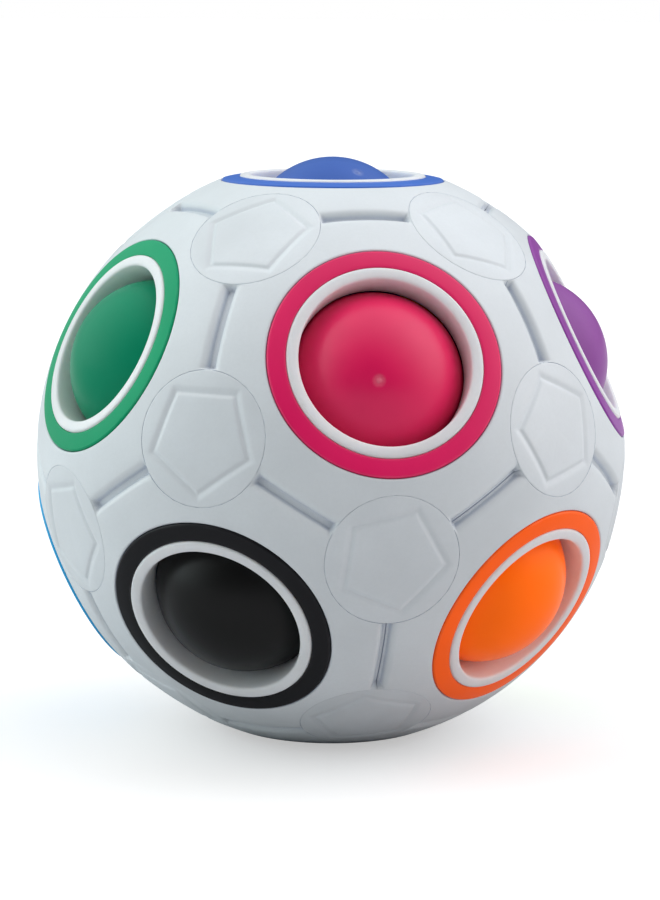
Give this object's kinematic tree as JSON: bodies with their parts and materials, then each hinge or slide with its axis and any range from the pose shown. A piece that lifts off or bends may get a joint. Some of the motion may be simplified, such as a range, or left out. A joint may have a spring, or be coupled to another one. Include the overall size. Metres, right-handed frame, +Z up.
{
  "type": "puzzle ball",
  "caption": "Hand-held puzzle ball: coloured balls press into a white slotted shell and slide to the empty hole beside them, each to match its hole's ring.",
  "frame": {"origin": "middle of the plane of the bottom (empty) hole's lip, which the ball stands on, below the shell's centre", "axes": "+Z up through the top (blue) hole, -Y out through the side of the pink hole, +X to the right of it"},
  "size_m": [0.07, 0.07, 0.0685],
  "materials": {
    "shell_half_a": "satin moulded white plastic",
    "shell_half_b": "satin moulded white plastic",
    "ring_blue": "satin moulded blue plastic",
    "ring_pink": "satin moulded pink plastic",
    "ring_purple": "satin moulded purple plastic",
    "ring_yellow": "satin moulded yellow plastic",
    "ring_red": "satin moulded red plastic",
    "ring_green": "satin moulded green plastic",
    "ring_orange": "satin moulded orange plastic",
    "ring_lime": "satin moulded lime plastic",
    "ring_brown": "satin moulded brown plastic",
    "ring_cyan": "satin moulded light blue plastic",
    "ring_black": "satin moulded black plastic",
    "ring_grey": "satin moulded grey plastic",
    "ball_blue": "satin moulded blue plastic",
    "ball_pink": "satin moulded pink plastic",
    "ball_purple": "satin moulded purple plastic",
    "ball_yellow": "satin moulded yellow plastic",
    "ball_red": "satin moulded red plastic",
    "ball_green": "satin moulded green plastic",
    "ball_orange": "satin moulded orange plastic",
    "ball_lime": "satin moulded lime plastic",
    "ball_brown": "satin moulded brown plastic",
    "ball_cyan": "satin moulded light blue plastic",
    "ball_black": "satin moulded black plastic",
    "cap_01": "satin moulded white plastic with an engraved pentagon",
    "cap_02": "satin moulded white plastic with an engraved pentagon",
    "cap_03": "satin moulded white plastic with an engraved pentagon",
    "cap_04": "satin moulded white plastic with an engraved pentagon",
    "cap_05": "satin moulded white plastic with an engraved pentagon",
    "cap_06": "satin moulded white plastic with an engraved pentagon",
    "cap_07": "satin moulded white plastic with an engraved pentagon",
    "cap_08": "satin moulded white plastic with an engraved pentagon",
    "cap_09": "satin moulded white plastic with an engraved pentagon",
    "cap_10": "satin moulded white plastic with an engraved pentagon",
    "cap_11": "satin moulded white plastic with an engraved pentagon",
    "cap_12": "satin moulded white plastic with an engraved pentagon",
    "cap_13": "satin moulded white plastic with an engraved pentagon",
    "cap_14": "satin moulded white plastic with an engraved pentagon",
    "cap_15": "satin moulded white plastic with an engraved pentagon",
    "cap_16": "satin moulded white plastic with an engraved pentagon",
    "cap_17": "satin moulded white plastic with an engraved pentagon",
    "cap_18": "satin moulded white plastic with an engraved pentagon",
    "cap_19": "satin moulded white plastic with an engraved pentagon",
    "cap_20": "satin moulded white plastic with an engraved pentagon",
    "screw_01": "zinc-plated steel",
    "screw_02": "zinc-plated steel",
    "screw_03": "zinc-plated steel",
    "screw_04": "zinc-plated steel",
    "screw_05": "zinc-plated steel",
    "screw_06": "zinc-plated steel",
    "screw_07": "zinc-plated steel",
    "screw_08": "zinc-plated steel",
    "screw_09": "zinc-plated steel",
    "screw_10": "zinc-plated steel",
    "core_ball": "soft dark foam"
  },
  "bodies": {
    "shell": {"shell_half_a": "shell_half_a", "shell_half_b": "shell_half_b", "ring_blue": "ring_blue", "ring_pink": "ring_pink", "ring_purple": "ring_purple", "ring_yellow": "ring_yellow", "ring_red": "ring_red", "ring_green": "ring_green", "ring_orange": "ring_orange", "ring_lime": "ring_lime", "ring_brown": "ring_brown", "ring_cyan": "ring_cyan", "ring_black": "ring_black", "ring_grey": "ring_grey", "cap_01": "cap_01", "cap_02": "cap_02", "cap_03": "cap_03", "cap_04": "cap_04", "cap_05": "cap_05", "cap_06": "cap_06", "cap_07": "cap_07", "cap_08": "cap_08", "cap_09": "cap_09", "cap_10": "cap_10", "cap_11": "cap_11", "cap_12": "cap_12", "cap_13": "cap_13", "cap_14": "cap_14", "cap_15": "cap_15", "cap_16": "cap_16", "cap_17": "cap_17", "cap_18": "cap_18", "cap_19": "cap_19", "cap_20": "cap_20", "screw_01": "screw_01", "screw_02": "screw_02", "screw_03": "screw_03", "screw_04": "screw_04", "screw_05": "screw_05", "screw_06": "screw_06", "screw_07": "screw_07", "screw_08": "screw_08", "screw_09": "screw_09", "screw_10": "screw_10"},
    "ball_blue": {"ball_blue": "ball_blue"},
    "ball_pink": {"ball_pink": "ball_pink"},
    "ball_purple": {"ball_purple": "ball_purple"},
    "ball_yellow": {"ball_yellow": "ball_yellow"},
    "ball_red": {"ball_red": "ball_red"},
    "ball_green": {"ball_green": "ball_green"},
    "ball_orange": {"ball_orange": "ball_orange"},
    "ball_lime": {"ball_lime": "ball_lime"},
    "ball_brown": {"ball_brown": "ball_brown"},
    "ball_cyan": {"ball_cyan": "ball_cyan"},
    "ball_black": {"ball_black": "ball_black"},
    "core": {"core_ball": "core_ball"}
  },
  "joints": [
    {"name": "ball_blue_press", "type": "slide", "parent": "shell", "child": "ball_blue", "axis": [0, 0, -1], "range_m": [0, 0.004], "stiffness_N_per_m": 300, "deforming": ["core_ball"]},
    {"name": "ball_pink_press", "type": "slide", "parent": "shell", "child": "ball_pink", "axis": [0, 0.8944, -0.4472], "range_m": [0, 0.004], "stiffness_N_per_m": 300},
    {"name": "ball_purple_press", "type": "slide", "parent": "shell", "child": "ball_purple", "axis": [-0.8507, 0.2764, -0.4472], "range_m": [0, 0.004], "stiffness_N_per_m": 300},
    {"name": "ball_yellow_press", "type": "slide", "parent": "shell", "child": "ball_yellow", "axis": [-0.5257, -0.7236, -0.4472], "range_m": [0, 0.004], "stiffness_N_per_m": 300},
    {"name": "ball_red_press", "type": "slide", "parent": "shell", "child": "ball_red", "axis": [0.5257, -0.7236, -0.4472], "range_m": [0, 0.004], "stiffness_N_per_m": 300},
    {"name": "ball_green_press", "type": "slide", "parent": "shell", "child": "ball_green", "axis": [0.8507, 0.2764, -0.4472], "range_m": [0, 0.004], "stiffness_N_per_m": 300},
    {"name": "ball_orange_press", "type": "slide", "parent": "shell", "child": "ball_orange", "axis": [-0.5257, 0.7236, 0.4472], "range_m": [0, 0.004], "stiffness_N_per_m": 300},
    {"name": "ball_lime_press", "type": "slide", "parent": "shell", "child": "ball_lime", "axis": [-0.8507, -0.2764, 0.4472], "range_m": [0, 0.004], "stiffness_N_per_m": 300},
    {"name": "ball_brown_press", "type": "slide", "parent": "shell", "child": "ball_brown", "axis": [0, -0.8944, 0.4472], "range_m": [0, 0.004], "stiffness_N_per_m": 300},
    {"name": "ball_cyan_press", "type": "slide", "parent": "shell", "child": "ball_cyan", "axis": [0.8507, -0.2764, 0.4472], "range_m": [0, 0.004], "stiffness_N_per_m": 300},
    {"name": "ball_black_swing", "type": "hinge", "parent": "shell", "child": "ball_black", "pos_m": [-0.01145, -0.01576, 0.00158], "axis": [-0.809, 0.5878, 0], "range_deg": [0, 80.6], "deforming": ["core_ball"]},
    {"name": "core_roll", "type": "hinge", "parent": "shell", "child": "core", "pos_m": [0, 0, 0.0331], "axis": [0, 0, 1], "continuous": true}
  ]
}
